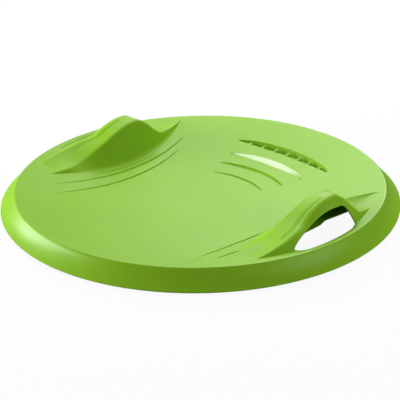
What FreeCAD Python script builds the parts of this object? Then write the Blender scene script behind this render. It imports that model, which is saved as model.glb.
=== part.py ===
import FreeCAD, Part
import Sketcher
import math
import os

# Saucer sled: a shallow round dish with a turned-down rim, two raised grips beside the seat
# and a crescent foot rest at the front. +Y is the front, +X the rider's right, Z is up.
# The origin is on the ground under the middle of the dish.

doc = FreeCAD.newDocument("saucer_sled")
Vector = FreeCAD.Vector

# Driving dimensions in millimetres, with what each one measures
SIZES = [
    ("overall_diameter", 590.0, "rim, outside"),
    ("rim_reach", 20.5, "rim from the lip, where the deck ends, out to its widest line"),
    ("dish_depth", 27.8, "deck centre below the lip"),
    ("deck_wall", 3.2, "deck thickness"),
    ("base_flat_depth", 0.8, "flat ground off the lowest point of the dish"),
    ("rim_wall", 3.0, "rim thickness"),
    ("rim_arc_radius", 48.0, "curve of the rim's outer face"),
    ("rim_edge_height", 6.5, "widest line of the rim above the ground"),
    ("rim_bottom_height", 2.5, "rim's lower edge above the ground"),
    ("rim_tuck", 2.0, "rim's lower edge inside its widest line"),
    ("grip_wall", 3.0, "thickness of the grip's walls"),
    ("inner_lift", 44.2, "crest of the grip's inner edge above the deck under it"),
    ("inner_edge_inset", 67.0, "inner edge of the grip inside the hand hole's outer side"),
    ("inner_mid_y", -16.0, "point of the inner edge nearest to the seat, ahead of the middle"),
    ("inner_arc_radius", 566.0, "plan curve of the inner edge"),
    ("inner_ramp_y", -129.0, "rear point of the inner edge, where its ramp leaves the deck"),
    ("inner_ramp_height", 14.8, "that ramp at the end of its change to the rise"),
    ("inner_ramp_lean", 16.7, "that ramp outside the foot of its wall at the same place"),
    ("inner_change_y", -105.0, "start of the change from the ramp to the rise"),
    ("inner_change_run", 50.0, "length of that change"),
    ("inner_rise_y", -110.0, "start of the rise to the crest, carried back to the deck"),
    ("inner_rise_run", 147.5, "length of that rise"),
    ("inner_fall_y", 48.0, "start of its steep fall ahead of the crest"),
    ("inner_fall_run", 47.2, "length of that fall"),
    ("inner_front_gap", 4.8, "front point of the inner edge ahead of the point where the two feet meet"),
    ("inner_tail_height", 24.3, "straight front tail of the inner edge, carried back to the fall"),
    ("inner_tail_lean", 14.1, "that tail outside the foot of its wall, carried back to the fall"),
    ("outer_lift", 43.2, "crest of the grip's outer edge above the deck under it"),
    ("outer_edge_inset", 34.7, "outer edge of the grip inside the hand hole's outer side"),
    ("outer_mid_y", 5.0, "point of the outer edge farthest from the seat, ahead of the middle"),
    ("outer_arc_radius", 1070.0, "plan curve of the outer edge"),
    ("outer_ramp_y", -119.0, "rear point of the outer edge, where its ramp leaves the deck"),
    ("outer_ramp_height", 25.0, "that ramp at the end of its change to the rise"),
    ("outer_ramp_lean", 33.7, "that ramp inside the foot of its wall at the same place"),
    ("outer_change_y", -45.0, "start of the change from the ramp to the rise"),
    ("outer_change_run", 45.0, "length of that change"),
    ("outer_rise_y", -86.0, "start of the rise to the crest, carried back to the deck"),
    ("outer_rise_run", 119.6, "length of that rise"),
    ("outer_fall_y", 43.0, "start of its steep fall ahead of the crest"),
    ("outer_fall_run", 38.5, "length of that fall"),
    ("outer_front_y", 107.0, "front point of the outer edge"),
    ("outer_tail_height", 11.5, "straight front tail of the outer edge, carried back to the fall"),
    ("outer_tail_lean", 10.8, "that tail inside the foot of its wall, carried back to the fall"),
    ("wall_rear_y", -122.0, "rear end of the grip's inner wall"),
    ("wall_point_gap", 3.0, "front end of the inner wall behind the point where the two feet meet"),
    ("band_rear_y", -114.0, "rear end of the grip band"),
    ("band_point_gap", 13.0, "front end of the grip band behind that point"),
    ("skirt_rear_y", -112.0, "rear end of the grip's outer wall"),
    ("skirt_front_y", 98.0, "front end of the grip's outer wall"),
    ("hole_margin", 16.5, "deck left between the hand hole and the lip"),
    ("foot_inset", 94.0, "foot of the inner wall inside the hand hole's outer side"),
    ("foot_mid_y", 4.0, "point of that foot nearest to the seat, ahead of the middle"),
    ("foot_arc_radius", 282.0, "plan curve of that foot"),
    ("hole_depth", 58.0, "straight inner side of the hand hole inside its outer side"),
    ("hole_rear_y", -64.0, "rear end of the hand hole"),
    ("hole_front_y", 57.0, "front end of the hand hole"),
    ("hole_corner_radius", 9.0, "corners of the hand hole"),
    ("arch_height", 53.3, "top of the arch over the hand hole above the ground"),
    ("arch_corner_radius", 19.0, "steep front corner of the arch"),
    ("arch_back_radius", 150.0, "long back curve of the arch"),
    ("arch_bend_y", -10.0, "rear end of that curve"),
    ("arch_rear_height", 31.0, "rear end of the arch above the ground"),
    ("footrest_setback", 69.5, "far edge of the foot rest inside the lip"),
    ("footrest_span", 188.0, "foot rest from point to point"),
    ("footrest_far_bow", 28.0, "bow of its far edge"),
    ("footrest_near_bow", 8.5, "bow of its near edge"),
    ("footrest_floor_drop", 8.5, "floor of the foot rest under its far edge"),
    ("footrest_slope_run", 9.0, "run of its sloping far wall"),
    ("scoop_gap", 37.0, "points of the second crescent behind those of the foot rest"),
    ("scoop_span", 150.0, "second crescent from point to point"),
    ("scoop_far_bow", 23.5, "bow of its far edge"),
    ("scoop_near_bow", 9.0, "bow of its near edge"),
    ("scoop_floor_drop", 4.2, "floor of the second crescent under its far edge"),
    ("scoop_slope_run", 14.0, "run of its sloping wall"),
    ("notch_gap", 31.0, "points of the third crescent behind those of the second"),
    ("notch_span", 122.0, "third crescent from point to point"),
    ("notch_far_bow", 17.0, "bow of its far edge"),
    ("notch_near_bow", 8.0, "bow of its near edge"),
    ("notch_floor_drop", 2.6, "floor of the third crescent under its far edge"),
    ("notch_slope_run", 3.0, "run of its sloping wall"),
    ("tray_wall", 2.0, "wall round and under the three crescents"),
    ("tray_point_wall", 4.0, "wall past each point of the three crescents"),
    ("rib_width", 2.2, "ribs in the foot rest"),
    ("rib_end_gap", 21.1, "outermost ribs from the points of the foot rest"),
    ("rib_reach", 14.0, "ribs from the near edge towards the far wall"),
    ("rib_drop", 5.0, "fall of a rib's top along its reach"),
    ("groove_depth", 1.3, "styling grooves in the deck"),
    ("groove_width", 2.6, "styling grooves at their middle"),
    ("line_gap", 28.0, "points of the fourth, thinnest crescent behind those of the third"),
    ("line_span", 92.0, "fourth crescent from point to point"),
    ("line_bow", 9.5, "bow of the fourth crescent"),
    ("near_groove_gap", 19.0, "groove beside the grip from the foot of its inner wall"),
    ("groove_pitch", 22.0, "second groove from the one beside the grip"),
    ("near_groove_rear_y", -138.0, "rear point of the groove beside the grip"),
    ("near_groove_front_y", 122.0, "front point of the groove beside the grip"),
    ("far_groove_rear_y", -156.0, "rear point of the second groove"),
    ("far_groove_front_y", 84.0, "front point of the second groove"),
    ("groove_arc_radius", 385.0, "plan curve of both grooves"),
    ("overrun", 20.0, "cutting tools past the faces that they cut"),
]
RIB_COUNT = 7
STATION_COUNT = 36
FOOT_OVERLAP = 0.12

sheet = doc.addObject("Spreadsheet::Sheet", "Sizes")
for row, (alias, value, note) in enumerate(SIZES, 1):
    sheet.set("A%d" % row, note)
    sheet.set("B%d" % row, str(value))
    sheet.setAlias("B%d" % row, alias)
doc.recompute()
size = {alias: float(sheet.get(alias)) for alias, value, note in SIZES}

# Sizes that follow from the driving ones
outer_radius = size["overall_diameter"] / 2
lip_radius = outer_radius - size["rim_reach"]
deck_low = size["deck_wall"] - size["base_flat_depth"]
lip_height = deck_low + size["dish_depth"]
dish_radius = (lip_radius ** 2 + size["dish_depth"] ** 2) / (2 * size["dish_depth"])
dish_center_z = deck_low + dish_radius
hole_radius = lip_radius - size["hole_margin"]
foot_mid_x = hole_radius - size["foot_inset"]
hole_inner_x = hole_radius - size["hole_depth"]
near_groove_x = foot_mid_x - size["near_groove_gap"]
far_groove_x = near_groove_x - size["groove_pitch"]
points_y = {"footrest": lip_radius - size["footrest_setback"] - size["footrest_far_bow"]}
points_y["scoop"] = points_y["footrest"] - size["scoop_gap"]
points_y["notch"] = points_y["scoop"] - size["notch_gap"]
points_y["line"] = points_y["notch"] - size["line_gap"]
rib_pitch = (size["footrest_span"] - 2 * size["rib_end_gap"]) / (RIB_COUNT - 1)
tool_top = size["arch_height"] + size["inner_lift"] + size["overrun"]


def deck_top(x, y):
    """Height of the deck's upper face, a shallow spherical bowl."""
    return dish_center_z - math.sqrt(dish_radius ** 2 - x * x - y * y)


def plan_arc(middle_x, middle_y, radius, y):
    """X on an arc that bows towards the seat, nearest to it at the given middle."""
    return middle_x + radius - math.sqrt(radius ** 2 - (y - middle_y) ** 2)


def make(kind, name, **values):
    """Add a document object and set its plain properties."""
    item = doc.addObject(kind, name)
    for key, value in values.items():
        setattr(item, key, value)
    return item


def bind(item, **formulas):
    """Tie properties of an object to cells of the sheet."""
    for key, formula in formulas.items():
        item.setExpression(key.replace("__", "."), formula)
    return item


def solid(name, shape):
    """Add a solid that has been worked out from the sheet's sizes."""
    item = doc.addObject("Part::Feature", name)
    item.Shape = shape
    return item


# Bowl of the deck between two spheres, ground flat where it rests
LIP_RADIUS = "(Sizes.overall_diameter / 2 - Sizes.rim_reach)"
DISH = "((" + LIP_RADIUS + "^2 + Sizes.dish_depth^2) / (2 * Sizes.dish_depth))"
CENTER = "(Sizes.deck_wall - Sizes.base_flat_depth + " + DISH + ")"
LIP = "(Sizes.deck_wall - Sizes.base_flat_depth + Sizes.dish_depth)"

bowl_top = bind(make("Part::Sphere", "bowl_top"), Radius=DISH, Placement__Base__z=CENTER)
bowl_under = bind(
    make("Part::Sphere", "bowl_under"),
    Radius=DISH + " + Sizes.deck_wall",
    Placement__Base__z=CENTER,
)
disc = bind(make("Part::Cylinder", "disc"), Radius=LIP_RADIUS, Height=LIP)
under_deck = make("Part::Cut", "under_deck", Base=disc, Tool=bowl_top)
bowl_shell = make("Part::Common", "bowl_shell", Base=under_deck, Tool=bowl_under)


def crescent(end_y, span, near_bow, far_bow, bottom, top):
    """Upright prism whose plan is bounded by two arcs between the same two points."""
    left = Vector(-span / 2, end_y, bottom)
    right = Vector(span / 2, end_y, bottom)
    far = Part.Arc(left, Vector(0, end_y + far_bow, bottom), right).toShape()
    near = Part.Arc(right, Vector(0, end_y + near_bow, bottom), left).toShape()
    return Part.Face(Part.Wire([far, near])).extrude(Vector(0, 0, top - bottom))


def bow_radius(span, bow):
    """Radius of an arc from its chord and its bow."""
    return ((span / 2) ** 2 + bow ** 2) / (2 * bow)


def crescent_void(prefix):
    """Hollow of a crescent: upright near side, level floor and a far wall that slopes up to the deck."""
    end_y = points_y[prefix]
    span = size[prefix + "_span"]
    far_bow = size[prefix + "_far_bow"]
    near_bow = size[prefix + "_near_bow"]
    run = size[prefix + "_slope_run"]
    rim_z = deck_top(0, end_y + far_bow)
    floor_z = rim_z - size[prefix + "_floor_drop"]
    radius = bow_radius(span, far_bow)
    axis_y = end_y + far_bow - radius
    rise = (tool_top - floor_z) * run / size[prefix + "_floor_drop"]
    funnel = Part.makeCone(radius - run, radius - run + rise, tool_top - floor_z, Vector(0, axis_y, floor_z))
    near_radius = bow_radius(span, near_bow)
    low = -size["overrun"]
    near_side = Part.makeCylinder(
        near_radius,
        tool_top + size["overrun"] - low,
        Vector(0, end_y + near_bow - near_radius, low),
    )
    return funnel.cut(near_side)


def crescent_tray_blank(prefix):
    """Outside of a crescent's tray, one wall wider and deeper than its hollow."""
    wall = size["tray_wall"]
    end_y = points_y[prefix]
    far_bow = size[prefix + "_far_bow"]
    bottom = deck_top(0, end_y + far_bow) - size[prefix + "_floor_drop"] - wall
    return crescent(
        end_y,
        size[prefix + "_span"] + 2 * size["tray_point_wall"],
        size[prefix + "_near_bow"] - wall,
        far_bow + wall,
        bottom,
        tool_top,
    )


TRAYS = {"footrest": "footrest_pocket", "scoop": "second_crescent", "notch": "third_crescent"}
voids = {}
blanks = {}
trays = []
for prefix, label in TRAYS.items():
    voids[prefix] = solid(prefix + "_void", crescent_void(prefix))
    blanks[prefix] = solid(prefix + "_blank", crescent_tray_blank(prefix))
    body = make("Part::Common", prefix + "_body", Base=blanks[prefix], Tool=under_deck)
    trays.append(make("Part::Cut", label, Label=label, Base=body, Tool=voids[prefix]))


def rib_wedges():
    """Seven upright wedges across the foot rest, highest at its near edge."""
    wedges = []
    for index in range(RIB_COUNT):
        x = (index - (RIB_COUNT - 1) / 2) * rib_pitch
        half = size["footrest_span"] / 2
        near_y = points_y["footrest"] + size["footrest_near_bow"] * (1 - (x / half) ** 2)
        start_y = near_y - size["tray_wall"]
        end_y = near_y + size["rib_reach"]
        top = deck_top(x, near_y)
        low = top - size["footrest_floor_drop"] - size["overrun"]
        left = x - size["rib_width"] / 2
        outline = Part.makePolygon([
            Vector(left, start_y, low),
            Vector(left, start_y, top),
            Vector(left, near_y, top),
            Vector(left, end_y, top - size["rib_drop"]),
            Vector(left, end_y, low),
            Vector(left, start_y, low),
        ])
        wedges.append(Part.Face(outline).extrude(Vector(size["rib_width"], 0, 0)))
    return Part.makeCompound(wedges)


rib_blank = solid("rib_blank", rib_wedges())
ribs = make("Part::Common", "footrest_ribs", Label="footrest_ribs", Base=rib_blank, Tool=voids["footrest"])


def groove_tool(outline):
    """Prism of a groove's plan, kept only down to the groove's depth under the deck."""
    keep_out = Part.makeSphere(dish_radius + size["groove_depth"], Vector(0, 0, dish_center_z))
    return outline.common(keep_out)


def side_groove(side, middle_x, rear_y, front_y):
    """Thin crescent beside a grip, on an arc that bows towards the seat."""
    middle_y = (rear_y + front_y) / 2
    radius = size["groove_arc_radius"]
    rear = Vector(side * plan_arc(middle_x, middle_y, radius, rear_y), rear_y, 0)
    front = Vector(side * plan_arc(middle_x, middle_y, radius, front_y), front_y, 0)
    inner = Vector(side * (middle_x - size["groove_width"] / 2), middle_y, 0)
    outer = Vector(side * (middle_x + size["groove_width"] / 2), middle_y, 0)
    edges = [Part.Arc(rear, inner, front).toShape(), Part.Arc(front, outer, rear).toShape()]
    return groove_tool(Part.Face(Part.Wire(edges)).extrude(Vector(0, 0, tool_top)))


grooves = [groove_tool(crescent(
    points_y["line"],
    size["line_span"],
    size["line_bow"] - size["groove_width"] / 2,
    size["line_bow"] + size["groove_width"] / 2,
    0,
    tool_top,
))]
for side in (-1, 1):
    for name, middle_x in (("near_groove", near_groove_x), ("far_groove", far_groove_x)):
        grooves.append(side_groove(side, middle_x, size[name + "_rear_y"], size[name + "_front_y"]))


def hand_hole(side):
    """Upright tool of a hand hole: straight beside the grip, round along the lip, with rounded corners."""
    outer = hole_radius
    rear_y = size["hole_rear_y"]
    front_y = size["hole_front_y"]
    inner_x = side * hole_inner_x
    low = -size["overrun"]
    rear_x = side * math.sqrt(outer ** 2 - rear_y ** 2)
    front_x = side * math.sqrt(outer ** 2 - front_y ** 2)
    corners = [
        Vector(inner_x, rear_y, low),
        Vector(rear_x, rear_y, low),
        Vector(front_x, front_y, low),
        Vector(inner_x, front_y, low),
    ]
    edges = [
        Part.makeLine(corners[0], corners[1]),
        Part.Arc(corners[1], Vector(side * outer, 0, low), corners[2]).toShape(),
        Part.makeLine(corners[2], corners[3]),
        Part.makeLine(corners[3], corners[0]),
    ]
    prism = Part.Face(Part.Wire(edges)).extrude(Vector(0, 0, tool_top))
    steep = math.cos(math.pi / 4)
    upright = [edge for edge in prism.Edges if abs(edge.tangentAt(edge.FirstParameter).z) > steep]
    return prism.makeFillet(size["hole_corner_radius"], upright)


holes = [hand_hole(side) for side in (-1, 1)]
deck_cuts = solid("deck_cuts", Part.makeCompound(holes + grooves))
tray_blanks = make("Part::Compound", "tray_blanks", Links=list(blanks.values()))
deck_with_trays = make("Part::Cut", "deck_with_trays", Base=bowl_shell, Tool=tray_blanks)
deck = make("Part::Cut", "deck", Label="deck", Base=deck_with_trays, Tool=deck_cuts)

# Rim: a bowed band turned down from the lip, spun round the middle
rim = make("PartDesign::Body", "rim", Label="rim")
sketch = rim.newObject("Sketcher::SketchObject", "rim_section")
plane = [item for item in rim.Origin.OriginFeatures if item.Role == "XZ_Plane"][0]
sketch.AttachmentSupport = (plane, [""])
sketch.MapMode = "FlatFace"
OUT = "Sizes.overall_diameter / 2"
TUCK = OUT + " - Sizes.rim_tuck"
tuck_radius = outer_radius - size["rim_tuck"]
edge_z = size["rim_edge_height"]
bottom_z = size["rim_bottom_height"]
RIM_POINTS = [
    (lip_radius, lip_height, LIP_RADIUS, LIP),
    (outer_radius, edge_z, OUT, "Sizes.rim_edge_height"),
    (tuck_radius, bottom_z, TUCK, "Sizes.rim_bottom_height"),
    (tuck_radius - size["rim_wall"], bottom_z, TUCK + " - Sizes.rim_wall", "Sizes.rim_bottom_height"),
    (outer_radius - size["rim_wall"], edge_z, OUT + " - Sizes.rim_wall", "Sizes.rim_edge_height"),
    (lip_radius, lip_height - size["rim_wall"], LIP_RADIUS, LIP + " - Sizes.rim_wall"),
]


def rim_arc(start, end, radius):
    """Arc between two points of the section that bows outwards and up."""
    chord = end - start
    middle = (start + end) / 2
    across = Vector(chord.y, -chord.x, 0).normalize()
    if across.x > 0:
        across = -across
    center = middle + across * math.sqrt(radius ** 2 - (chord.Length / 2) ** 2)
    angles = [math.atan2(point.y - center.y, point.x - center.x) for point in (end, start)]
    return Part.ArcOfCircle(Part.Circle(center, Vector(0, 0, 1), radius), *angles)


section = [Vector(x, z, 0) for x, z, formula_x, formula_z in RIM_POINTS]
inner_arc_radius = size["rim_arc_radius"] - size["rim_wall"]
top_arc = sketch.addGeometry(rim_arc(section[0], section[1], size["rim_arc_radius"]))
lines = [sketch.addGeometry(Part.LineSegment(section[i], section[i + 1])) for i in (1, 2, 3)]
under_arc = sketch.addGeometry(rim_arc(section[5], section[4], inner_arc_radius))
closing = sketch.addGeometry(Part.LineSegment(section[5], section[0]))
START_INDEX = 1
END_INDEX = 2
ORIGIN_INDEX = -1
joins = [
    (top_arc, START_INDEX, lines[0], START_INDEX),
    (lines[0], END_INDEX, lines[1], START_INDEX),
    (lines[1], END_INDEX, lines[2], START_INDEX),
    (lines[2], END_INDEX, under_arc, START_INDEX),
    (under_arc, END_INDEX, closing, START_INDEX),
    (closing, END_INDEX, top_arc, END_INDEX),
]
for first, first_end, second, second_end in joins:
    sketch.addConstraint(Sketcher.Constraint("Coincident", first, first_end, second, second_end))
owners = [(closing, END_INDEX)] + [(curve, START_INDEX) for curve in lines + [under_arc, closing]]
for (curve, end), (x, z, formula_x, formula_z) in zip(owners, RIM_POINTS):
    for axis, value, formula in (("DistanceX", x, formula_x), ("DistanceY", z, formula_z)):
        index = sketch.addConstraint(Sketcher.Constraint(axis, ORIGIN_INDEX, START_INDEX, curve, end, value))
        sketch.setExpression("Constraints[%d]" % index, formula)
for curve, formula, value in (
    (top_arc, "Sizes.rim_arc_radius", size["rim_arc_radius"]),
    (under_arc, "Sizes.rim_arc_radius - Sizes.rim_wall", inner_arc_radius),
):
    index = sketch.addConstraint(Sketcher.Constraint("Radius", curve, value))
    sketch.setExpression("Constraints[%d]" % index, formula)
spin = rim.newObject("PartDesign::Revolution", "rim_spin")
spin.Profile = sketch
spin.ReferenceAxis = (sketch, ["V_Axis"])
spin.Angle = 360


# Grips: an inner wall that leans out from the seat, a band along its top and an arched outer wall
def feet_meet():
    """Front point where the feet of the inner and the outer wall would meet."""
    center = Vector(foot_mid_x + size["foot_arc_radius"], size["foot_mid_y"], 0)
    foot = Part.Circle(center, Vector(0, 0, 1), size["foot_arc_radius"])
    skirt = Part.Circle(Vector(0, 0, 0), Vector(0, 0, 1), hole_radius)
    return max(point.Y for point in foot.intersect(skirt))


front_y = {"inner": feet_meet() + size["inner_front_gap"], "outer": size["outer_front_y"]}


def smooth(share):
    """Smooth step from 0 to 1."""
    share = min(max(share, 0), 1)
    return share ** 2 * (3 - 2 * share)


def mixed(start, end, share):
    """Point between two points of a section."""
    return tuple(low + (high - low) * share for low, high in zip(start, end))


def grip_edge(edge, outward, foot_x, y):
    """Edge of the grip as x and z: a ramp out of the deck, a rise to the crest, a steep fall and a tail."""
    change_y = size[edge + "_change_y"]
    ramp_y = size[edge + "_ramp_y"]
    fall_y = size[edge + "_fall_y"]
    foot_z = deck_top(foot_x, y)
    share = max(y - ramp_y, 0) / (change_y + size[edge + "_change_run"] - ramp_y)
    ramp = (
        foot_x - outward * size[edge + "_ramp_lean"] * share,
        foot_z + size[edge + "_ramp_height"] * share,
    )
    bow = plan_arc(0, size[edge + "_mid_y"], size[edge + "_arc_radius"], y)
    crest_x = hole_radius - size[edge + "_edge_inset"] - outward * bow
    rise = size[edge + "_lift"] * smooth((y - size[edge + "_rise_y"]) / size[edge + "_rise_run"])
    crest = (crest_x, deck_top(crest_x, y) + rise)
    share = max(front_y[edge] - y, 0) / (front_y[edge] - fall_y)
    tail = (
        foot_x - outward * size[edge + "_tail_lean"] * share,
        foot_z + size[edge + "_tail_height"] * share,
    )
    top = mixed(ramp, crest, smooth((y - change_y) / size[edge + "_change_run"]))
    return mixed(top, tail, smooth((y - fall_y) / size[edge + "_fall_run"]))


def past_foot(foot, edge):
    """Lower end of a wall, carried on a little past its foot into the deck."""
    return tuple(low - FOOT_OVERLAP * (high - low) for low, high in zip(foot, edge))


def behind(foot, edge, outward):
    """Inside of a leaning wall's foot, one thickness square to the wall."""
    run = edge[0] - foot[0]
    rise = edge[1] - foot[1]
    length = math.hypot(run, rise)
    share = size["grip_wall"] / length if length else 0
    return foot[0] - outward * rise * share, foot[1] + outward * run * share


def grip_corners(y):
    """Corners of the grip's section, outside and inside: foot, inner edge, outer edge and skirt."""
    wall = size["grip_wall"]
    foot_x = plan_arc(foot_mid_x, size["foot_mid_y"], size["foot_arc_radius"], y)
    skirt_x = math.sqrt(hole_radius ** 2 - y * y)
    inner_edge = grip_edge("inner", -1, foot_x, y)
    outer_edge = grip_edge("outer", 1, skirt_x, y)
    foot = past_foot((foot_x, deck_top(foot_x, y)), inner_edge)
    skirt = past_foot((skirt_x, deck_top(skirt_x, y)), outer_edge)
    inside = [
        behind(foot, inner_edge, -1),
        (inner_edge[0] + wall, inner_edge[1] - wall),
        (outer_edge[0] - wall, outer_edge[1] - wall),
        behind(skirt, outer_edge, 1),
    ]
    return [foot, inner_edge, outer_edge, skirt], inside


def grip_wall(side, first, start_y, end_y):
    """Wall between two neighbouring corners of the section, lofted from end to end of the grip."""
    wires = []
    for index in range(STATION_COUNT):
        y = start_y + (end_y - start_y) * index / (STATION_COUNT - 1)
        outside, inside = grip_corners(y)
        loop = [outside[first], outside[first + 1], inside[first + 1], inside[first]]
        points = [Vector(side * x, y, z) for x, z in loop]
        wires.append(Part.makePolygon(points + points[:1]))
    return Part.makeLoft(wires, True, True)


def arch_tool(side):
    """Opening under a grip from the side: a slope, a long curve at the back and a tight one in front."""
    top_z = size["arch_height"]
    corner = size["arch_corner_radius"]
    back = size["arch_back_radius"]
    front_y = size["hole_front_y"]
    peak_y = front_y - corner
    rear_y = size["hole_rear_y"]
    bend_y = size["arch_bend_y"]
    middle_y = (bend_y + peak_y) / 2
    bend_z = top_z - back + math.sqrt(back ** 2 - (peak_y - bend_y) ** 2)
    middle_z = top_z - back + math.sqrt(back ** 2 - (peak_y - middle_y) ** 2)
    x = side * hole_inner_x
    across = corner * math.sqrt(2) / 2
    rear_low = Vector(x, rear_y, 0)
    rear = Vector(x, rear_y, size["arch_rear_height"])
    bend = Vector(x, bend_y, bend_z)
    middle = Vector(x, middle_y, middle_z)
    peak = Vector(x, peak_y, top_z)
    shoulder = Vector(x, peak_y + across, top_z - corner + across)
    front = Vector(x, front_y, top_z - corner)
    front_low = Vector(x, front_y, 0)
    edges = [
        Part.makeLine(rear_low, rear),
        Part.makeLine(rear, bend),
        Part.Arc(bend, middle, peak).toShape(),
        Part.Arc(peak, shoulder, front).toShape(),
        Part.makeLine(front, front_low),
        Part.makeLine(front_low, rear_low),
    ]
    return Part.Face(Part.Wire(edges)).extrude(Vector(side * outer_radius, 0, 0))


WALLS = {
    "inner_wall": (size["wall_rear_y"], feet_meet() - size["wall_point_gap"]),
    "grip_band": (size["band_rear_y"], feet_meet() - size["band_point_gap"]),
    "outer_arch": (size["skirt_rear_y"], size["skirt_front_y"]),
}
grips = []
for side, hand in ((-1, "left"), (1, "right")):
    for first, (kind, (start_y, end_y)) in enumerate(WALLS.items()):
        label = hand + "_" + kind
        blank = grip_wall(side, first, start_y, end_y)
        if kind == "outer_arch":
            blank = blank.cut(arch_tool(side))
        blank_item = solid(label + "_blank", blank)
        grips.append(make("Part::Cut", label, Label=label, Base=blank_item, Tool=under_deck))

doc.recompute()

# Every object has to be sound before anything is written
for item in doc.Objects:
    if "Invalid" in item.State or "Error" in item.State:
        raise RuntimeError("%s did not build: %s" % (item.Label, item.State))
os.makedirs("parts", exist_ok=True)
pieces = [deck, rim] + trays + [ribs] + grips
for piece in pieces:
    if piece.Shape.isNull() or not piece.Shape.isValid() or not piece.Shape.Solids:
        raise RuntimeError("%s has no sound solid" % piece.Label)
for piece in pieces:
    piece.Shape.exportStep("parts/%s.step" % piece.Label)
    box = piece.Shape.BoundBox
    print(piece.Label, len(piece.Shape.Solids), "solids", round(piece.Shape.Volume), "mm3",
          [round(value, 1) for value in (box.XMin, box.YMin, box.ZMin, box.XMax, box.YMax, box.ZMax)])
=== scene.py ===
import math

import bpy
import numpy as np
from mathutils import Matrix, Vector
from mathutils.geometry import delaunay_2d_cdt


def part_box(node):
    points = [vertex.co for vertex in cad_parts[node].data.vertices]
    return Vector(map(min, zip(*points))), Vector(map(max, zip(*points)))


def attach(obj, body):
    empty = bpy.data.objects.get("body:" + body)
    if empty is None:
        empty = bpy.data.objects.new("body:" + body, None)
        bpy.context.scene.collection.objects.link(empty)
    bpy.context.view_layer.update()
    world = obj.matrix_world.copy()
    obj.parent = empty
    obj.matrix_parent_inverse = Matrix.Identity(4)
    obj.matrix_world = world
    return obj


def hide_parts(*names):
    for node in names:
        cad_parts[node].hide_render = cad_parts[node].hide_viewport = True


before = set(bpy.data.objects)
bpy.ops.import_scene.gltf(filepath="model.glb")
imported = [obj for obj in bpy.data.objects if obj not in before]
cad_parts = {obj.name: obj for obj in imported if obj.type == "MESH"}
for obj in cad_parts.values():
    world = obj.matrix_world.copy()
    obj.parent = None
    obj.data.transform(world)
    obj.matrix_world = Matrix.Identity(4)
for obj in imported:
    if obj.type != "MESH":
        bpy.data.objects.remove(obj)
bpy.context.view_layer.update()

# Deck
# The shallow round dish that carries the rider, moulded in one shot of tough green plastic with a fine
# matt grain. Two hand holes, three crescent hollows and five thin styling grooves are moulded into it.
deck_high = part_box("deck")[1]
lip_radius = deck_high.x
lip_height = deck_high.z
deck_wall = 0.0032
dish_floor = 0.0024
dish_depth = lip_height - dish_floor
dish_radius = (lip_radius ** 2 + dish_depth ** 2) / (2 * dish_depth)
base_flat_radius = math.sqrt(2 * dish_radius * (deck_wall - dish_floor))
base_flat_sides = 48
lip_round = 0.0026
deck_edge_radius = lip_radius - lip_round
deck_edge_sides = 288
deck_mesh_pitch = 0.0065
deck_mesh_reach = 50
deck_mesh_gap_share = 0.4
hole_radius = 0.258
hole_inner_x = 0.200
hole_rear_y = -0.064
hole_front_y = 0.057
hole_bend_y = 0.050
hole_point = (0.213, 0.106)
hole_corner = 0.009
hole_roll_width = 0.0105
hole_roll_depth = 0.0055
hole_roll_shares = (0.04, 0.12, 0.25, 0.42, 0.62, 0.85, 1.0)
groove_depth = 0.0028
groove_half_width = 0.0016
groove_floor_share = 0.45
side_grooves = [
    dict(side=-1, middle_x=0.145, rear_y=-0.141, front_y=0.127, radius=0.385),
    dict(side=-1, middle_x=0.123, rear_y=-0.159, front_y=0.090, radius=0.385),
    dict(side=1, middle_x=0.1834, rear_y=-0.148, front_y=-0.104, radius=1.6),
    dict(side=1, middle_x=0.1595, rear_y=-0.158, front_y=0.008, radius=1.6),
]
line_end_y = 0.0779
line_half = 0.053
line_bow = 0.0126
line_half_width = 0.0026
crescent_end_power = 0.55
crescents = {
    "footrest_pocket": dict(end_y=0.177, half=0.094, far=0.028, near=0.0085, drop=0.0085, run=0.0048),
    "second_crescent": dict(end_y=0.140, half=0.075, far=0.0235, near=0.009, drop=0.0042, run=0.014),
    "third_crescent": dict(end_y=0.1076, half=0.066, far=0.0195, near=0.0094, drop=0.0026, run=0.003),
}
green = (0.26, 0.55, 0.012, 1.0)
cloud_scale = 9
cloud_detail = 3
cloud_shades = (0.94, 1.06)
pebble_detail = 2
pebble_gloss = (0.9, 1.1)


def bowl(x, y):
    """Height of the deck's upper face: the lower cap of a sphere that stands on the dish's floor."""
    return dish_floor + dish_radius - np.sqrt(dish_radius ** 2 - x ** 2 - y ** 2)


def bow(x, half, rise):
    """Height of a circular arc over its chord, from half the chord and the arc's rise."""
    radius = (half ** 2 + rise ** 2) / (2 * rise)
    return np.sqrt(np.maximum(radius ** 2 - x ** 2, 0)) - (radius - rise)


def far_bow(x, half, far, near):
    """Far side of a crescent over its chord: the near arc and a width that closes bluntly at the two ends."""
    return bow(x, half, near) + (far - near) * np.maximum(1 - (x / half) ** 2, 0) ** crescent_end_power


def plan_arc(middle_x, middle_y, radius, y):
    """X of a plan arc that bows towards the seat and is nearest to it at its middle."""
    return middle_x + radius - np.sqrt(radius ** 2 - (y - middle_y) ** 2)


def quadratic(start, bend, end, count):
    """Quadratic curves from start to end that leave and arrive along the lines to the bend point."""
    share = np.linspace(0, 1, count).reshape((-1,) + (1,) * np.ndim(start))
    return (1 - share) ** 2 * start + 2 * share * (1 - share) * bend + share ** 2 * end


def ease(share):
    """Smooth step from 0 to 1: three squares less two cubes of a share held between 0 and 1."""
    share = np.clip(share, 0, 1)
    return share ** 2 * (3 - 2 * share)


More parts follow.
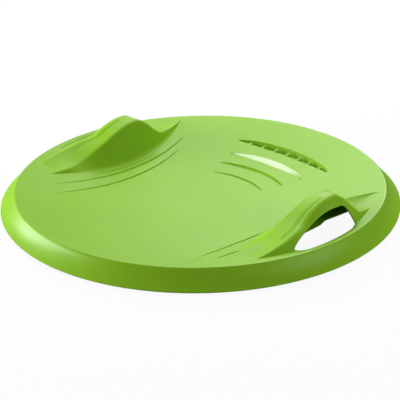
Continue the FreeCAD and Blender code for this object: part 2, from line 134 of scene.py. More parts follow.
def hand_hole_outline(side, count=14, arc_count=42):
    """Hand hole in plan: straight beside the grip, an arc along the lip, a point in front between them, and
    corners as quadratic curves."""
    rear_x = math.sqrt(hole_radius ** 2 - hole_rear_y ** 2)
    front_x = math.sqrt(hole_radius ** 2 - hole_front_y ** 2)
    corners = np.array([
        (hole_inner_x, hole_rear_y), (rear_x, hole_rear_y), (front_x, hole_front_y), hole_point,
        (hole_inner_x, hole_bend_y),
    ])
    after = np.roll(corners, -1, axis=0) - corners
    after /= np.linalg.norm(after, axis=1)[:, None]
    before = np.roll(after, 1, axis=0)
    start = corners - before * hole_corner
    end = corners + after * hole_corner
    on_arc = np.array([end[1, 1], start[2, 1]])
    end[1, 0], start[2, 0] = np.sqrt(hole_radius ** 2 - on_arc ** 2)
    bends = quadratic(start, corners, end, count).transpose(1, 0, 2)
    arc_y = np.linspace(on_arc[0], on_arc[1], arc_count)[1:-1]
    arc = np.stack([np.sqrt(hole_radius ** 2 - arc_y ** 2), arc_y], axis=1)
    share = np.linspace(0, 1, count)[1:-1, None]
    straights = [first + (last - first) * share for first, last in zip(end, np.roll(start, -1, axis=0))]
    outline = np.concatenate([
        bends[0], bends[1], arc, bends[2], straights[2], bends[3], straights[3], bends[4], straights[4],
    ])
    return outline * (side, 1)


def crescent_outline(end_y, half, far, near, count=56, **depths):
    """Crescent in plan: the near arc and the blunt far side between the same two points."""
    x = -half * np.cos(np.linspace(0, math.pi, count))
    far_edge = np.stack([x, end_y + far_bow(x, half, far, near)], axis=1)
    near_edge = np.stack([x, end_y + bow(x, half, near)], axis=1)
    return np.concatenate([near_edge, far_edge[-2:0:-1]])


def groove_taper(along, middle, half, least=None):
    """Share of a groove's width and depth along it: a half circle, full at the middle, none at the points."""
    # Known flaw: with no least, rounding makes one end of the last side groove a NaN, which empties the
    # hexagon grid and leaves the deck with long triangles. A least of 0 mends it and alters the deck's shape.
    return np.sqrt(np.clip(1 - ((along - middle) / half) ** 2, least, 1))


def groove_lines(side, middle_x, rear_y, front_y, radius, count=72):
    """Middle and both edges of a side groove: an arc whose width falls off to nothing at its points."""
    y = np.linspace(rear_y, front_y, count)
    middle_y = (rear_y + front_y) / 2
    reach = groove_half_width * groove_taper(y, middle_y, front_y - middle_y)
    x = plan_arc(middle_x, middle_y, radius, y)
    return [np.stack([side * (x + across * reach), y], axis=1) for across in (-1, 0, 1)]


def line_crescent_lines(count=48):
    """Middle and both edges of the thinnest crescent, which is a groove on a bowed line."""
    x = np.linspace(-line_half, line_half, count)
    reach = line_half_width * groove_taper(x, 0, line_half)
    y = line_end_y + bow(x, line_half, line_bow)
    return [np.stack([x, y + across * reach], axis=1) for across in (-1, 0, 1)]


def groove_drop(x, y):
    """Depth of the V-shaped grooves: greatest on the middle line and nothing at the edges and points."""
    drop = np.zeros_like(x)
    least = 1e-6
    for groove in side_grooves:
        middle_y = (groove["rear_y"] + groove["front_y"]) / 2
        taper = groove_taper(y, middle_y, groove["front_y"] - middle_y, least)
        away = np.abs(groove["side"] * x - plan_arc(groove["middle_x"], middle_y, groove["radius"], y))
        flank = np.clip(1 - away / (groove_half_width * taper), 0, 1)
        drop = np.maximum(drop, groove_depth * taper * flank)
    taper = groove_taper(x, 0, line_half, least)
    away = np.abs(y - line_end_y - bow(np.clip(x, -line_half, line_half), line_half, line_bow))
    flank = np.clip(1 - away / (line_half_width * taper), 0, 1)
    return np.maximum(drop, groove_depth * taper * flank)


def hole_roll(x, y):
    """Fall of the deck into a hand hole along the lip: a quarter ellipse that fades at the hole's ends."""
    share = np.clip(1 - (np.hypot(x, y) - hole_radius) / hole_roll_width, 0, 1)
    fade = ease((y - hole_rear_y) / hole_corner / 2) * ease((hole_front_y - y) / hole_corner / 2)
    return hole_roll_depth * (1 - np.sqrt(1 - share ** 2)) * fade * (np.abs(x) > hole_inner_x)


def hole_roll_lines(count=34):
    """Arcs along the roll of both hand holes, close together at the hole, where the roll is steep."""
    y = np.linspace(hole_rear_y + hole_corner, hole_front_y - hole_corner, count)
    radii = [hole_radius + hole_roll_width * share for share in hole_roll_shares]
    arcs = [np.stack([np.sqrt(radius ** 2 - y ** 2), y], axis=1) for radius in radii]
    return [arc * (side, 1) for side in (-1, 1) for arc in arcs]


def inside_outline(points, outline):
    """True for each point whose ray to the right crosses the closed outline an odd number of times."""
    start, end = outline, np.roll(outline, -1, axis=0)
    x, y = points[:, :1], points[:, 1:]
    spans = (start[:, 1] > y) != (end[:, 1] > y)
    rise = np.where(end[:, 1] == start[:, 1], 1, end[:, 1] - start[:, 1])
    crossing = start[:, 0] + (y - start[:, 1]) / rise * (end[:, 0] - start[:, 0])
    return (spans & (x < crossing)).sum(axis=1) % 2 == 1


def ring(radius, count):
    """Points of a circle in plan."""
    angle = np.linspace(0, 2 * math.pi, count, endpoint=False)
    return radius * np.stack([np.cos(angle), np.sin(angle)], axis=1)


def hexagon_grid(lines):
    """Points of a hexagon grid within the deck's edge that stand clear of all the given lines."""
    steps = np.arange(-deck_mesh_reach, deck_mesh_reach + 1) * deck_mesh_pitch
    x, y = np.meshgrid(steps, steps * math.sqrt(3) / 2)
    x = x + deck_mesh_pitch / 2 * (np.arange(len(steps)) % 2)[:, None]
    grid = np.stack([x.ravel(), y.ravel()], axis=1)
    grid = grid[np.hypot(grid[:, 0], grid[:, 1]) < deck_edge_radius - deck_mesh_pitch / 2]
    for line in lines:
        gap = np.linalg.norm(grid[:, None] - line[None], axis=2).min(axis=1)
        grid = grid[gap > deck_mesh_pitch * deck_mesh_gap_share]
    return grid


def deck_plan(merge_distance=1e-7, least_area=1e-12):
    """Plan of the deck as triangles: outlines and groove lines kept as edges, filled with a hexagon grid."""
    holes = [hand_hole_outline(side) for side in (-1, 1)]
    holes += [crescent_outline(**sizes) for sizes in crescents.values()]
    closed = [ring(deck_edge_radius, deck_edge_sides), ring(base_flat_radius, base_flat_sides)] + holes
    grooves = [line for sizes in side_grooves for line in groove_lines(**sizes)]
    lines = closed + grooves + line_crescent_lines() + hole_roll_lines()
    edges, first = [], 0
    for place, line in enumerate(lines):
        index = first + np.arange(len(line))
        pairs = np.stack([index, np.roll(index, -1)], axis=1)
        edges.append(pairs if place < len(closed) else pairs[:-1])
        first += len(line)
    points = [Vector(point) for point in np.concatenate(lines + [hexagon_grid(lines)]).tolist()]
    filled = delaunay_2d_cdt(points, np.concatenate(edges).tolist(), [], 0, merge_distance)
    plan = np.array([tuple(point) for point in filled[0]])
    triangles = np.array(filled[2])
    corners = plan[triangles]
    first_side, second_side = corners[:, 1] - corners[:, 0], corners[:, 2] - corners[:, 0]
    area = first_side[:, 0] * second_side[:, 1] - first_side[:, 1] * second_side[:, 0]
    triangles = np.where((area < 0)[:, None], triangles[:, ::-1], triangles)[np.abs(area) > least_area]
    middle = plan[triangles].mean(axis=1)
    keep = np.ones(len(middle), bool)
    for outline in holes:
        keep &= ~inside_outline(middle, outline)
    used, triangles = np.unique(triangles[keep], return_inverse=True)
    return plan[used], triangles.reshape(-1, 3)


def deck_sheet():
    """Closed deck: the plan on the bowl, less grooves and rolls, over an underside one wall lower."""
    plan, top = deck_plan()
    x, y = plan.T
    upper = bowl(x, y) - groove_drop(x, y) - hole_roll(x, y)
    under = np.maximum(np.minimum(bowl(x, y) - deck_wall, upper - groove_floor_share * deck_wall), 0)
    points = np.concatenate([np.column_stack([plan, upper]), np.column_stack([plan, under])])
    count = len(plan)
    directed = np.concatenate([top[:, [0, 1]], top[:, [1, 2]], top[:, [2, 0]]])
    key = np.sort(directed, axis=1) @ np.array([count, 1])
    where, seen = np.unique(key, return_index=True, return_counts=True)[1:]
    border = directed[where[seen == 1]]
    walls = np.column_stack([border[:, 0], border[:, 0] + count, border[:, 1] + count, border[:, 1]])
    return points, top.tolist() + (top[:, ::-1] + count).tolist() + walls.tolist()


def moulded_grain():
    """Shader group for moulded plastic: slow clouds in the colour, fine pebbles in gloss and height."""
    group = bpy.data.node_groups.new("moulded_grain", "ShaderNodeTree")
    colour, number = "NodeSocketColor", "NodeSocketFloat"
    for name, kind in (("Color", colour), ("Roughness", number), ("Grain", number)):
        group.interface.new_socket(name, in_out="INPUT", socket_type=kind)
    for name, kind in (("Color", colour), ("Roughness", number), ("Height", number)):
        group.interface.new_socket(name, in_out="OUTPUT", socket_type=kind)
    add = group.nodes.new
    entry, leave = add("NodeGroupInput"), add("NodeGroupOutput")
    place = add("ShaderNodeTexCoord")
    clouds, pebbles = add("ShaderNodeTexNoise"), add("ShaderNodeTexNoise")
    shade, gloss = add("ShaderNodeMapRange"), add("ShaderNodeMapRange")
    tint, polish = add("ShaderNodeMix"), add("ShaderNodeMath")
    clouds.inputs["Scale"].default_value = cloud_scale
    clouds.inputs["Detail"].default_value = cloud_detail
    pebbles.inputs["Detail"].default_value = pebble_detail
    for spread, (least, most) in ((shade, cloud_shades), (gloss, pebble_gloss)):
        spread.inputs["To Min"].default_value = least
        spread.inputs["To Max"].default_value = most
    tint.data_type = "RGBA"
    tint.blend_type = "MULTIPLY"
    tint.inputs["Factor"].default_value = 1
    polish.operation = "MULTIPLY"
    link = group.links.new
    link(place.outputs["Object"], clouds.inputs["Vector"])
    link(place.outputs["Object"], pebbles.inputs["Vector"])
    link(entry.outputs["Grain"], pebbles.inputs["Scale"])
    link(clouds.outputs["Fac"], shade.inputs["Value"])
    link(pebbles.outputs["Fac"], gloss.inputs["Value"])
    link(entry.outputs["Color"], tint.inputs["A"])
    link(shade.outputs["Result"], tint.inputs["B"])
    link(entry.outputs["Roughness"], polish.inputs[0])
    link(gloss.outputs["Result"], polish.inputs[1])
    link(tint.outputs["Result"], leave.inputs["Color"])
    link(polish.outputs["Value"], leave.inputs["Roughness"])
    link(pebbles.outputs["Fac"], leave.inputs["Height"])
    return group


grain = moulded_grain()


def plastic(name, roughness, shine, grain_scale, grain_depth):
    """Green moulded plastic with the shared grain: its roughness, its share of shine, and the scale and depth
    of its pebbles."""
    material = bpy.data.materials.new(name)
    material.use_nodes = True
    tree = material.node_tree
    shader = tree.nodes["Principled BSDF"]
    shader.inputs["Specular IOR Level"].default_value = shine
    skin = tree.nodes.new("ShaderNodeGroup")
    skin.node_tree = grain
    skin.inputs["Color"].default_value = green
    skin.inputs["Roughness"].default_value = roughness
    skin.inputs["Grain"].default_value = grain_scale
    bump = tree.nodes.new("ShaderNodeBump")
    bump.inputs["Distance"].default_value = grain_depth
    tree.links.new(skin.outputs["Color"], shader.inputs["Base Color"])
    tree.links.new(skin.outputs["Roughness"], shader.inputs["Roughness"])
    tree.links.new(skin.outputs["Height"], bump.inputs["Height"])
    tree.links.new(bump.outputs["Normal"], shader.inputs["Normal"])
    return material


def sled_piece(name, nodes, slot, points, faces, material, crease=35):
    """Mesh of one piece, smooth but for edges sharper than the crease angle, set on the frame."""
    mesh = bpy.data.meshes.new(name)
    mesh.from_pydata(points.tolist(), [], faces)
    mesh.shade_smooth()
    mesh.set_sharp_from_angle(angle=math.radians(crease))
    mesh.materials.append(material)
    piece = bpy.data.objects.new(name, mesh)
    bpy.context.scene.collection.objects.link(piece)
    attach(piece, "root")
    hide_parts(*nodes)
    return piece


matt_green = plastic("matt_grained_green", roughness=0.42, shine=0.1, grain_scale=1100, grain_depth=0.00012)
deck_points, deck_faces = deck_sheet()
sled_piece("deck_dish", ["deck"], "deck_plastic", deck_points, deck_faces, matt_green)

# Rim
# The smooth band turned down from the deck's lip all the way round, which stiffens the dish and glides over
# snow. It is moulded with the deck, bows slightly outwards and ends in a rounded lower edge.
rim_low, rim_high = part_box("rim")
rim_radius = rim_high.x
rim_bottom = rim_low.z
rim_edge_height = 0.0065
rim_tuck = 0.002
rim_wall = 0.003
rim_arc_radius = 0.048
rim_sides = 288
rim_crease = 50
lip_blend = 0.0045
lip_inset = 0.0006
lip_seat_share = 0.6


def arc_between(start, end, radius, count):
    """Circular arc in the section plane between two points, bowed away from the middle of the sled."""
    chord = end - start
    length = np.linalg.norm(chord)
    across = np.array([-chord[1], chord[0]]) / length
    center = (start + end) / 2 - across * math.sqrt(radius ** 2 - length ** 2 / 4)
    angles = [math.atan2(*(point - center)[::-1]) for point in (start, end)]
    turn = np.linspace(angles[0], angles[1], count)
    return center + radius * np.stack([np.cos(turn), np.sin(turn)], axis=1)


def rim_section():
    """Closed outline of the rim: rounded lip, bowed outer face, rounded lower edge and the inner face."""
    lip = np.array([lip_radius, lip_height])
    widest = np.array([rim_radius, rim_edge_height])
    outer = arc_between(widest, lip, rim_arc_radius, count=40)[::-1]
    face = outer[np.linalg.norm(outer - lip, axis=1) > lip_blend]
    deck_end = np.array([deck_edge_radius, float(bowl(deck_edge_radius, 0.0))])
    rounded_lip = quadratic(deck_end, lip, face[0], count=10)[:-1]
    toe = np.array([rim_radius - rim_tuck - rim_wall / 2, rim_bottom])
    corner = np.array([rim_radius, rim_bottom])
    heel = np.array([rim_radius - rim_wall - rim_tuck / 2, rim_edge_height])
    back_corner = np.array([heel[0] - rim_tuck / 2, rim_bottom])
    lower_edge = quadratic(widest, corner, toe, count=10)[1:]
    back_edge = quadratic(toe, back_corner, heel, count=8)[1:]
    inner = arc_between(heel, lip - (lip_inset, rim_wall), rim_arc_radius - rim_wall, count=24)[1:]
    tuck_in = deck_end - (lip_inset, deck_wall * lip_seat_share)
    return np.concatenate([rounded_lip, face, lower_edge, back_edge, inner, tuck_in[None]])


def grid_faces(rows, columns, wrap_rows=False, wrap_columns=False):
    """Four-sided faces of a grid of points, closed round either way where asked."""
    row = np.arange(rows if wrap_rows else rows - 1)[:, None]
    column = np.arange(columns if wrap_columns else columns - 1)[None]
    next_row, next_column = (row + 1) % rows, (column + 1) % columns
    corners = [row * columns + column, next_row * columns + column,
               next_row * columns + next_column, row * columns + next_column]
    return np.stack(corners, axis=-1).reshape(-1, 4)


def spun(section, count):
    """The closed section turned round the sled's upright axis."""
    angle = np.linspace(0, 2 * math.pi, count, endpoint=False)[:, None]
    points = np.stack([section[:, 0] * np.cos(angle), section[:, 0] * np.sin(angle),
                       section[:, 1] + 0 * angle], axis=-1)
    faces = grid_faces(count, len(section), wrap_rows=True, wrap_columns=True)
    return points.reshape(-1, 3), faces[:, ::-1].tolist()


satin_green = plastic("satin_green", roughness=0.36, shine=0.25, grain_scale=1500, grain_depth=0.00004)
rim_points, rim_faces = spun(rim_section(), rim_sides)
sled_piece("turned_down_rim", ["rim"], "rim_plastic", rim_points, rim_faces, satin_green, rim_crease)

# Crescent hollows
# Three curved hollows ahead of the seat, moulded into the deck as smooth trays: the deep one is the heel
# rest, the second a shallow polished scoop and the third a narrow step. Each slopes up at its far side.
tray_wall = 0.0016
tray_tuck = 0.0016
tray_near_sink = 0.0003
tray_near_draft = 0.0002
tray_far_sink = 0.0001
tray_tuck_sink = 0.0004
tray_end_turn = 0.02


def walled(outer, wall):
    """Closed sheet: a grid of points, the same grid one wall behind it, and half-round long edges."""
    along = np.gradient(outer, axis=0)
    across = np.gradient(outer, axis=1)
    facing = np.cross(along, across)
    least = 1e-15
    facing /= np.maximum(np.linalg.norm(facing, axis=2, keepdims=True), least)
    inner = outer - facing * wall
    rounding = np.radians([45, 90, 135])[:, None]
    edges = []
    for edge, sign in ((-1, 1), (0, -1)):
        beyond = sign * across[:, edge]
        beyond = beyond / np.maximum(np.linalg.norm(beyond, axis=1, keepdims=True), least)
        middle = (outer[:, edge] + inner[:, edge]) / 2
        turn = np.cos(rounding) * facing[:, edge][:, None] + np.sin(rounding) * beyond[:, None]
        edges.append(middle[:, None] + turn * wall / 2)
    loop = np.concatenate([outer, edges[0], inner[:, ::-1], edges[1][:, ::-1]], axis=1)
    rows, columns = loop.shape[:2]
    faces = grid_faces(rows, columns, wrap_columns=True).tolist()
    last = (rows - 1) * columns
    front = outer.shape[1]
    back = columns - len(rounding) - 1
    step = np.arange(front - 1)
    end = np.stack([step, step + 1, back - step - 1, back - step], axis=1)
    caps = [list(range(front - 1, front + len(rounding) + 1)), list(range(back, columns)) + [0]]
    faces += end.tolist() + (end[:, ::-1] + last).tolist()
    faces += caps + [[last + index for index in cap[::-1]] for cap in caps]
    return loop.reshape(-1, 3), faces


def tray_surface(end_y, half, far, near, drop, run, count=90, stretch_counts=(2, 5, 5, 12, 3)):
    """Hollow of a crescent: a lap under the deck, an upright near side, a level floor, a slope up to the far
    side and a lap again, as straight stretches across it at each place along the crescent."""
    x = -half * np.cos(np.linspace(tray_end_turn, math.pi - tray_end_turn, count))
    near_y = end_y + bow(x, half, near)
    far_y = end_y + far_bow(x, half, far, near)
    near_z, far_z = bowl(x, near_y), bowl(x, far_y)
    slope = drop / run
    floor_z = float(bowl(0.0, end_y + far)) - drop
    low_z = np.maximum(floor_z, far_z - slope * (far_y - near_y))
    low_z = np.minimum(low_z, near_z)
    slope_y = far_y - (far_z - low_z) / slope
    corners = [
        (near_y - tray_tuck, near_z - tray_near_sink), (near_y, near_z - tray_near_sink),
        (near_y + tray_near_draft, low_z), (slope_y, low_z),
        (far_y, far_z - tray_far_sink), (far_y + tray_tuck, far_z - tray_tuck_sink),
    ]
    path = []
    for (y0, z0), (y1, z1), pieces in zip(corners[:-1], corners[1:], stretch_counts):
        share = np.linspace(0, 1, pieces, endpoint=False)[:, None]
        path.append(np.stack([y0 + (y1 - y0) * share, z0 + (z1 - z0) * share], axis=-1))
    path.append(np.stack(corners[-1], axis=-1)[None])
    path = np.concatenate(path)
    grid = np.concatenate([np.broadcast_to(x[None, :, None], path.shape[:2] + (1,)), path], axis=2)
    return grid.transpose(1, 0, 2)


polished_green = plastic("polished_green", roughness=0.18, shine=0.7, grain_scale=1500, grain_depth=0.00002)
for node, sizes in crescents.items():
    tray_points, tray_faces = walled(tray_surface(**sizes), tray_wall)
    finish = polished_green if node == "second_crescent" else matt_green
    sled_piece(node + "_tray", [node], "smooth_plastic", tray_points, tray_faces, finish)

# Ribs of the heel rest
# Seven thin upright ribs across the deep crescent, moulded with it, that stop a boot from sliding.
# Each starts at the near edge, flush with the deck, and ends free about half way to the far slope.
rib_count = 7
rib_width = 0.0036
rib_end_gap = 0.0211
rib_share = 0.6
rib_crown = 0.0004
heel_rest = crescents["footrest_pocket"]


def rib_surfaces(x, count=10, crown_count=9):
    """Ribs at places across the sled: a slightly crowned top on upright sides, carried from the near edge
    flush with the deck."""
    x = x[:, None, None]
    near_y = heel_rest["end_y"] + bow(x, heel_rest["half"], heel_rest["near"])
    far_y = heel_rest["end_y"] + far_bow(x, heel_rest["half"], heel_rest["far"], heel_rest["near"])
    floor_z = float(bowl(0.0, heel_rest["end_y"] + heel_rest["far"])) - heel_rest["drop"]
    share = np.linspace(0, 1, count)[:, None]
    y = near_y - tray_wall / 2 + rib_share * (far_y - near_y) * share
    angle = np.linspace(0, math.pi, crown_count)
    across = x + rib_width / 2 * np.concatenate([[1], np.cos(angle), [-1]])
    upper = bowl(x, y) - tray_near_sink - rib_crown * (1 - np.sin(angle))
    low = np.full(y.shape, floor_z - tray_wall / 2)
    height = np.concatenate([low, np.maximum(upper, low), low], axis=2)
    return np.stack(np.broadcast_arrays(across, y, height), axis=-1)


rib_places = np.linspace(-1, 1, rib_count) * (heel_rest["half"] - rib_end_gap)
ribs = rib_surfaces(rib_places)
rib_rows, rib_columns = ribs.shape[1:3]
rib_points = rib_rows * rib_columns
rib_sides = grid_faces(rib_rows, rib_columns, wrap_columns=True)[:, ::-1]
rib_ends = np.array([range(rib_columns), range(rib_points - 1, rib_points - rib_columns - 1, -1)])
rib_starts = rib_points * np.arange(rib_count)[:, None, None]
rib_faces = (rib_starts + rib_sides).reshape(-1, 4).tolist()
rib_faces += (rib_starts + rib_ends).reshape(-1, rib_columns).tolist()
sled_piece("heel_rest_ribs", ["footrest_ribs"], "deck_plastic", ribs.reshape(-1, 3), rib_faces, matt_green)

# Grips
# A raised wave on each side to hold on to, hollow and moulded with the deck: a steep wall beside the seat,
# a grained band over the top and an outer wall with an arch, through which the fingers reach.
foot_mid_x, foot_mid_y, foot_arc_radius = 0.164, 0.004, 0.282
inner_shape = dict(ramp_y=-0.129, ramp_rate=0.2, ramp_lean=1.13, change_y=-0.105, change_run=0.050,
                   lift=0.0447, crest_x=0.1910, mid_y=-0.016, bow=0.566, rise_y=-0.110, rise_run=0.1475,
                   fall_y=0.048, fall_run=0.0472, front_y=0.1575, tail_rate=0.22, tail_lean=0.58)
outer_shape = dict(ramp_y=-0.119, ramp_rate=0.21, ramp_lean=-1.35, change_y=-0.045, change_run=0.045,
                   lift=0.0437, crest_x=0.2233, mid_y=0.005, bow=-1.07, rise_y=-0.0863, rise_run=0.1199,
                   fall_y=0.043, fall_run=0.0385, front_y=0.107, tail_rate=0.18, tail_lean=-0.94)
grip_wall = 0.0025
grip_crease = 50
grip_end_trim = 0.0005
cove = 0.008
cove_wall_share = 0.45
cove_rise_share = 0.8
cove_sink = 0.0002
inner_round = 0.0042
outer_round = 0.006
round_height_share = 0.4
round_width_share = 0.3
band_front_y = 0.1515
band_settle_height = 0.008
band_hug_height = 0.003
band_line_shares = np.array([0.74, 0.88])
band_line_half_share = 0.02
band_line_depth = 0.0009
band_line_rear_y = -0.075
band_line_front_y = 0.035
band_line_fade = 0.02


def on_deck(x, y):
    """Points of the deck's upper face."""
    return np.stack([x, y, bowl(x, y)], axis=-1)


def grip_edge(y, foot, ramp_y, ramp_rate, ramp_lean, change_y, change_run, lift, crest_x, mid_y, bow,
              rise_y, rise_run, fall_y, fall_run, front_y, tail_rate, tail_lean):
    """Edge of a grip: a straight ramp that leans from the wall's foot, changing smoothly into a smooth rise
    to the crest along a shallow plan curve, then falling on to a straight tail that leans from the foot."""
    low = ramp_rate * np.maximum(y - ramp_y, 0)
    ramp = foot + np.stack([ramp_lean * low, 0 * low, low], axis=-1)
    high = lift * ease((y - rise_y) / rise_run)
    crest = on_deck(crest_x + (y - mid_y) ** 2 / (2 * bow), y) + np.stack([0 * high, 0 * high, high], axis=-1)
    low = tail_rate * np.maximum(front_y - y, 0)
    tail = foot + np.stack([tail_lean * low, 0 * low, low], axis=-1)
    top = ramp + (crest - ramp) * ease((y - change_y) / change_run)[..., None]
    return top + (tail - top) * ease((y - fall_y) / fall_run)[..., None]


def inner_foot(y):
    """Line where the inner wall meets the deck."""
    return on_deck(plan_arc(foot_mid_x, foot_mid_y, foot_arc_radius, y), y)


def outer_foot(y):
    """Line where the outer wall meets the deck, along the lip side of the hand hole."""
    return on_deck(np.sqrt(hole_radius ** 2 - y ** 2), y)


def inner_edge(y):
    """Edge between the inner wall and the band."""
    return grip_edge(y, inner_foot(y), **inner_shape)


def outer_edge(y):
    """Edge between the band and the outer wall."""
    return grip_edge(y, outer_foot(y), **outer_shape)


def toward(start, end, distance):
    """Points at a distance from the start along the straight line to the end."""
    line = end - start
    length = np.maximum(np.linalg.norm(line, axis=-1, keepdims=True), 1e-9)
    return start + line / length * np.asarray(distance)[..., None]


def over_deck(points):
    """Height of points above the deck under them."""
    return np.maximum(points[..., 2] - bowl(points[..., 0], points[..., 1]), 0)


def inner_wall_surface(count=130, cove_count=10, lean_count=12):
    """Inner wall: a cove that rises out of the deck, then a straight lean up to the rounded edge."""
    y = np.linspace(inner_shape["front_y"] - grip_end_trim, inner_shape["ramp_y"] + grip_end_trim, count)
    foot, edge = inner_foot(y), inner_edge(y)
    sweep = np.minimum(cove, cove_wall_share * np.linalg.norm(edge - foot, axis=1))
    start = on_deck(foot[:, 0] - sweep, y) - (0, 0, cove_sink)
    rest = toward(foot, edge, cove_rise_share * sweep)
    top = toward(edge, foot, np.minimum(inner_round, round_height_share * over_deck(edge)))
    share = np.linspace(0, 1, lean_count)[1:, None, None]
    lean = rest + (top - rest) * share
    return np.concatenate([quadratic(start, foot, rest, cove_count), lean]).transpose(1, 0, 2)


def band_surface(count=170, flat_count=22, inner_count=9, outer_count=11):
    """Band over the grip: rounded inner edge, a flat that settles on to the deck at its ends and has two fine
    lines pressed into it, and rounded outer edge."""
    y = np.linspace(band_front_y, inner_shape["ramp_y"] + grip_end_trim, count)
    inner, outer = inner_edge(y), outer_edge(y)
    most = round_width_share * np.linalg.norm(outer - inner, axis=1)
    inner_reach = np.minimum(np.minimum(inner_round, round_height_share * over_deck(inner)), most)
    outer_reach = np.minimum(np.minimum(outer_round, round_height_share * over_deck(outer)), most)
    inner_end, outer_start = toward(inner, outer, inner_reach), toward(outer, inner, outer_reach)
    line_shares = (band_line_shares[:, None] + band_line_half_share * np.array([-1, 0, 1])).ravel()
    share = np.sort(np.concatenate([np.linspace(0, 1, flat_count)[1:-1], line_shares]))[:, None]
    tail = np.clip(1 - over_deck(outer) / band_settle_height, 0, 1)
    settle = share + tail * share * (1 - share)
    x = inner_end[:, 0] + (outer_start[:, 0] - inner_end[:, 0]) * share
    high = over_deck(inner_end) + (over_deck(outer_start) - over_deck(inner_end)) * settle
    high = high * (1 - 4 * share * (1 - share) * np.exp(-high / band_hug_height))
    pressed = ease((y - band_line_rear_y) / band_line_fade) * ease((band_line_front_y - y) / band_line_fade)
    high = high - band_line_depth * np.isin(share, band_line_shares) * pressed
    flat = on_deck(x, y + 0 * x) + np.stack([0 * x, 0 * x, high], axis=-1)
    inner_bend = quadratic(toward(inner, inner_foot(y), inner_reach), inner, inner_end, inner_count)
    outer_bend = quadratic(outer_start, outer, toward(outer, outer_foot(y), outer_reach), outer_count)
    return np.concatenate([inner_bend, flat, outer_bend]).transpose(1, 0, 2)


arch_share = 0.77
arch_sunk_share = -0.04
arch_sag_share = 0.11
arch_sag_run = 0.065
arch_peak_y = -0.020
arch_rear_y = -0.067
arch_corner_y = 0.041
arch_front_y = hole_front_y - 0.001
arch_wall_front_y = outer_shape["front_y"] - 0.0015
arch_wall_rear_y = outer_shape["ramp_y"] + 0.001
arch_top_front_y = 0.1055
arch_top_corner_y = 0.076
arch_top_back_y = -0.074
arch_top_rear_y = -0.118


def arch_path(turn_count=26, top_count=24, front_count=18, rear_count=14):
    """Lower border of the outer wall, front to rear, as place along the sled and share of the wall's height:
    deck, squarish front corner, long top, quarter-ellipse back and deck again. The third column is the place
    on the upper edge that each point faces."""
    turn = np.linspace(0, math.pi / 2, turn_count)
    front_y = arch_corner_y + (arch_front_y - arch_corner_y) * np.sqrt(np.cos(turn))
    top_y = np.linspace(arch_corner_y, arch_peak_y, top_count)
    back_y = arch_peak_y + (arch_rear_y - arch_peak_y) * np.sin(turn)
    top = arch_share - arch_sag_share * ((top_y - arch_peak_y) / arch_sag_run) ** 2
    corner = arch_sunk_share + (top[0] - arch_sunk_share) * np.sqrt(np.sin(turn))
    back = arch_sunk_share + (arch_share - arch_sunk_share) * np.cos(turn)
    stretches = [
        (np.linspace(arch_wall_front_y, front_y[0], front_count), np.full(front_count, arch_sunk_share),
         (arch_top_front_y, arch_top_corner_y)),
        (front_y, corner, (arch_top_corner_y, arch_corner_y)),
        (top_y, top, (arch_corner_y, arch_peak_y)),
        (back_y, back, (arch_peak_y, arch_top_back_y)),
        (np.linspace(arch_rear_y, arch_wall_rear_y, rear_count), np.full(rear_count, arch_sunk_share),
         (arch_top_back_y, arch_top_rear_y)),
    ]
    rows = [np.stack([y, low, np.linspace(*upper, len(y))], axis=1)[1:] for y, low, upper in stretches]
    return np.concatenate(rows)


def outer_arch_surface(count=14):
    """Outer wall: straight rulings on the leaning wall from its rounded upper edge to the arch or deck."""
    low_y, low, top_y = arch_path().T
    edge = outer_edge(top_y)
    length = np.linalg.norm(edge - outer_foot(top_y), axis=1)
    top = 1 - np.minimum(outer_round, round_height_share * over_deck(edge)) / length
    share = np.linspace(0, 1, count)[:, None]
    y = top_y + (low_y - top_y) * share
    rise = (top + (low - top) * share)[..., None]
    return (outer_foot(y) + (outer_edge(y) - outer_foot(y)) * rise).transpose(1, 0, 2)


def mirrored(points, faces):
    """The same piece on the left: x changes sign, so each face is turned round."""
    return points * (-1, 1, 1), [face[::-1] for face in faces]


grip_pieces = [
    ("inner_wall", "grip_inner_wall", "smooth_plastic", matt_green, inner_wall_surface()),
    ("grip_band", "grip_top_band", "deck_plastic", matt_green, band_surface()),
    ("outer_arch", "grip_arch_wall", "smooth_plastic", satin_green, outer_arch_surface()),
]
for node, name, slot, finish, surface in grip_pieces:
    points, faces = walled(surface, grip_wall)
    sled_piece("right_" + name, ["right_" + node], slot, points, faces, finish, grip_crease)
    sled_piece("left_" + name, ["left_" + node], slot, *mirrored(points, faces), finish, grip_crease)

# Studio
# A pale floor under a white surround, four soft boxes on the sled's left and one on its right, and the camera
# at the photograph's angle: a long lens over the rear right of the sled.
floor_half = 6.0
floor_grey = 0.85
floor_grey_in_gloss = 0.12
floor_white_share = 0.93
floor_points = np.array([(-1, -1), (1, -1), (1, 1), (-1, 1)]) * floor_half
floor_mesh = bpy.data.meshes.new("studio_floor")
floor_mesh.from_pydata(np.column_stack([floor_points, np.zeros(4)]).tolist(), [], [[0, 1, 2, 3]])
floor = bpy.data.objects.new("studio_floor", floor_mesh)
bpy.context.scene.collection.objects.link(floor)


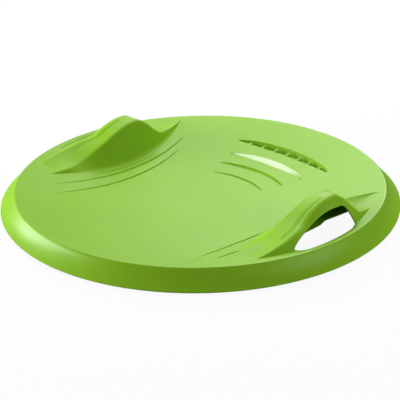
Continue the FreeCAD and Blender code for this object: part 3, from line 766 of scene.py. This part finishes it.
def floor_paint():
    """Pale floor that the camera sees as nearly white, with the sled's shadow left on it."""
    material = bpy.data.materials.new("pale_floor")
    material.use_nodes = True
    tree = material.node_tree
    tree.nodes.remove(tree.nodes["Principled BSDF"])
    diffuse = tree.nodes.new("ShaderNodeBsdfDiffuse")
    shade = tree.nodes.new("ShaderNodeMix")
    shade.data_type = "RGBA"
    shade.inputs["A"].default_value = (floor_grey, floor_grey, floor_grey, 1)
    shade.inputs["B"].default_value = (floor_grey_in_gloss, floor_grey_in_gloss, floor_grey_in_gloss, 1)
    glow = tree.nodes.new("ShaderNodeEmission")
    rays = tree.nodes.new("ShaderNodeLightPath")
    seen = tree.nodes.new("ShaderNodeMath")
    seen.operation = "MULTIPLY"
    seen.inputs[1].default_value = floor_white_share
    blend = tree.nodes.new("ShaderNodeMixShader")
    tree.links.new(rays.outputs["Is Glossy Ray"], shade.inputs["Factor"])
    tree.links.new(shade.outputs["Result"], diffuse.inputs["Color"])
    tree.links.new(rays.outputs["Is Camera Ray"], seen.inputs[0])
    tree.links.new(seen.outputs["Value"], blend.inputs["Fac"])
    tree.links.new(diffuse.outputs["BSDF"], blend.inputs[1])
    tree.links.new(glow.outputs["Emission"], blend.inputs[2])
    tree.links.new(blend.outputs["Shader"], tree.nodes["Material Output"].inputs["Surface"])
    return material


floor_mesh.materials.append(floor_paint())
surround_light = 0.2
surround_white = 1.0
patch_direction = (-0.85, 0.25, 0.46)
patch_edges = (0.83, 0.96)
patch_lights = (0.08, 0.5)


def surround():
    """Surround that is white for the camera and dim for the light that it gives. In gloss it is nearly dark
    but for a soft round patch high on the sled's left."""
    world = bpy.data.worlds.new("white_surround")
    world.use_nodes = True
    tree = world.node_tree
    glow = tree.nodes["Background"]
    glow.inputs["Color"].default_value = (1, 1, 1, 1)
    place = tree.nodes.new("ShaderNodeTexCoord")
    facing = tree.nodes.new("ShaderNodeVectorMath")
    facing.operation = "DOT_PRODUCT"
    facing.inputs[1].default_value = patch_direction
    fade = tree.nodes.new("ShaderNodeMapRange")
    for name, (least, most) in (("From", patch_edges), ("To", patch_lights)):
        fade.inputs[name + " Min"].default_value = least
        fade.inputs[name + " Max"].default_value = most
    rays = tree.nodes.new("ShaderNodeLightPath")
    reflected = tree.nodes.new("ShaderNodeMix")
    reflected.inputs["A"].default_value = surround_light
    shown = tree.nodes.new("ShaderNodeMix")
    shown.inputs["B"].default_value = surround_white
    tree.links.new(place.outputs["Generated"], facing.inputs[0])
    tree.links.new(facing.outputs["Value"], fade.inputs["Value"])
    tree.links.new(rays.outputs["Is Glossy Ray"], reflected.inputs["Factor"])
    tree.links.new(fade.outputs["Result"], reflected.inputs["B"])
    tree.links.new(rays.outputs["Is Camera Ray"], shown.inputs["Factor"])
    tree.links.new(reflected.outputs["Result"], shown.inputs["A"])
    tree.links.new(shown.outputs["Result"], glow.inputs["Strength"])
    return world


bpy.context.scene.world = surround()


def soft_box(name, side, distance, width, height, power):
    """Area lamp on a direction from the sled, turned to face it, with its height side upright."""
    lamp = bpy.data.lights.new(name, "AREA")
    lamp.shape = "RECTANGLE"
    lamp.size = width
    lamp.size_y = height
    lamp.energy = power
    stand = bpy.data.objects.new(name, lamp)
    direction = Vector(side).normalized()
    turn = direction.to_track_quat("Z", "Y").to_matrix().to_4x4()
    stand.matrix_world = Matrix.Translation(direction * distance) @ turn
    bpy.context.scene.collection.objects.link(stand)


soft_box("key_soft_box", side=(-0.47, 0.72, 0.51), distance=1.95, width=1.0, height=1.0, power=22)
soft_box("scoop_soft_box", side=(-0.57, 0.30, 0.765), distance=1.8, width=0.6, height=0.9, power=11)
soft_box("side_soft_box", side=(-0.72, -0.48, 0.50), distance=1.8, width=0.9, height=0.9, power=3)
soft_box("low_soft_box", side=(-0.74, -0.64, 0.16), distance=1.8, width=1.5, height=0.5, power=33)
soft_box("fill_soft_box", side=(0.80, 0.30, 0.40), distance=1.8, width=1.0, height=1.0, power=8)

camera_place = Vector((1.2726, -1.2162, 0.8099))
camera_aim = Vector((0, 0, 0.004))
camera_roll = math.radians(-1.01)
lens = bpy.data.cameras.new("photo_camera")
lens.lens = 117
lens.sensor_width = 36
lens.shift_x = -0.001
lens.shift_y = -0.00625
camera = bpy.data.objects.new("photo_camera", lens)
forward = (camera_aim - camera_place).normalized()
level = forward.cross(Vector((0, 0, 1))).normalized()
upright = level.cross(forward)
right = math.cos(camera_roll) * level + math.sin(camera_roll) * upright
above = right.cross(forward)
camera_turn = Matrix((right, above, -forward)).transposed().to_4x4()
camera.matrix_world = Matrix.Translation(camera_place) @ camera_turn
bpy.context.scene.collection.objects.link(camera)
bpy.context.scene.camera = camera
bpy.context.scene.view_settings.view_transform = "Standard"
